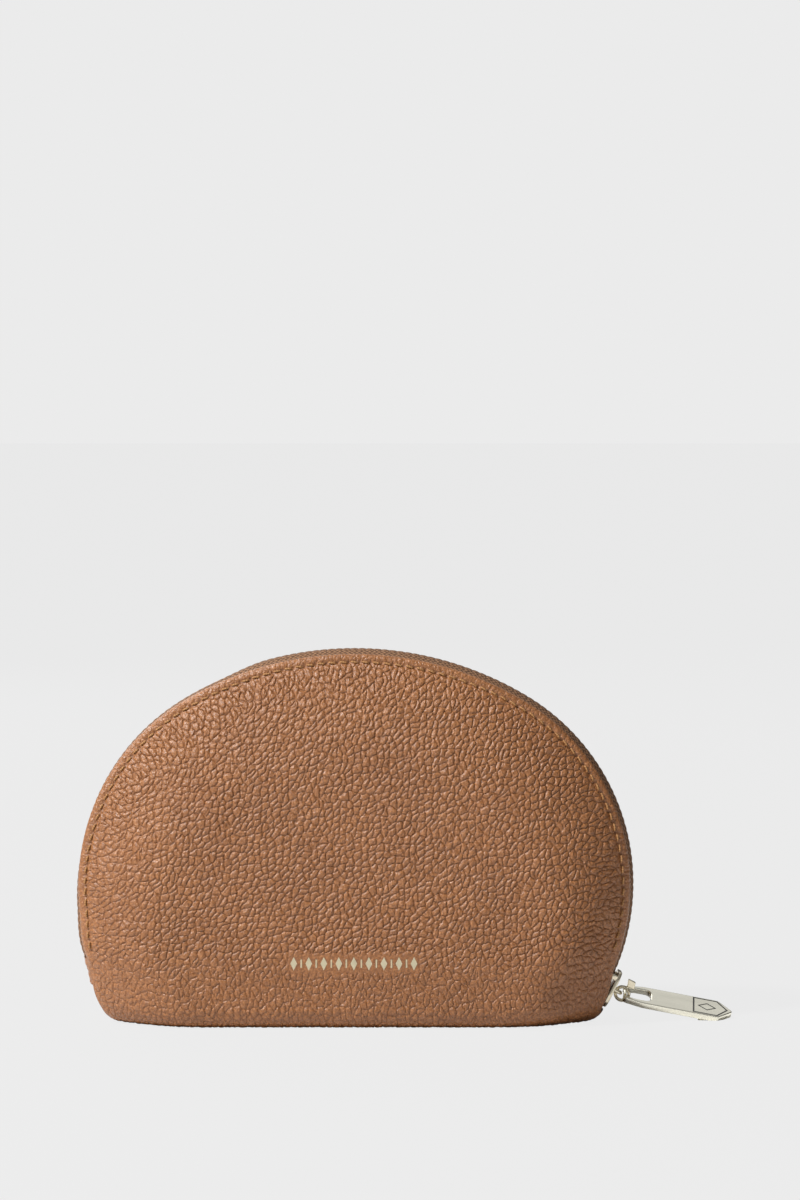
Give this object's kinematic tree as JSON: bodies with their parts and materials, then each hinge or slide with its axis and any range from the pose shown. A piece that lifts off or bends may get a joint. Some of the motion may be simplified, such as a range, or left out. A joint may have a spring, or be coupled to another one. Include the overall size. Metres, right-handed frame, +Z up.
{
  "type": "half-moon zip pouch",
  "caption": "Half-moon pebbled leather pouch on a flat boxed base, with a zip round the arch, stitched edges and a flat pointed metal puller.",
  "frame": {"origin": "centre of the flat underside of the base", "axes": "+X along the pouch's width towards the zip's closing end and the puller, +Y from the front panel to the back panel, +Z up"},
  "size_m": [0.1532, 0.037, 0.0875],
  "materials": {
    "leather": "pebbled tan leather, soft sheen",
    "board": "thin fibre board",
    "lining": "plain woven lining",
    "tape": "fine herringbone zip tape",
    "coil": "nylon zip coil",
    "thread": "waxed golden-tan thread",
    "metal": "polished pale champagne gold"
  },
  "bodies": {
    "back_half": {"base_leather": "leather", "base_board": "board", "base_lining": "lining", "back_leather": "leather", "back_stiffener": "board", "back_lining": "lining", "zip_tape_back": "tape", "zip_coil_back": "coil", "stitching_back": "thread", "top_stop_back": "metal", "bottom_stop": "metal"},
    "front_half": {"front_leather": "leather", "front_stiffener": "board", "front_lining": "lining", "zip_tape_front": "tape", "zip_coil_front": "coil", "stitching_front": "thread", "top_stop_front": "metal"},
    "slider": {"slider_body": "metal", "slider_bridge": "metal"},
    "link": {"link_ring": "metal"},
    "puller": {"puller": "metal"}
  },
  "joints": [
    {"name": "front_opening", "type": "hinge", "parent": "back_half", "child": "front_half", "pos_m": [0, -0.0181, 0.007], "axis": [1, 0, 0], "range_deg": [0, 40], "deforming": ["zip_tape_front", "zip_coil_front"]},
    {"name": "slider_travel", "type": "hinge", "parent": "back_half", "child": "slider", "pos_m": [0.014, 0, 0.032], "axis": [0, -1, 0], "range_deg": [0, 80], "deforming": ["zip_tape_back", "zip_coil_back"]},
    {"name": "link_swing", "type": "hinge", "parent": "slider", "child": "link", "pos_m": [0.06279, 0, 0.00613], "axis": [0, 1, 0], "range_deg": [-25, 0]},
    {"name": "puller_swing", "type": "hinge", "parent": "link", "child": "puller", "pos_m": [0.06384, 0, 0.00581], "axis": [0, 1, 0], "range_deg": [-60, 0]}
  ],
  "couplings": [
    {"joint": "slider_travel", "follows": "front_opening", "ratio": 2}
  ]
}
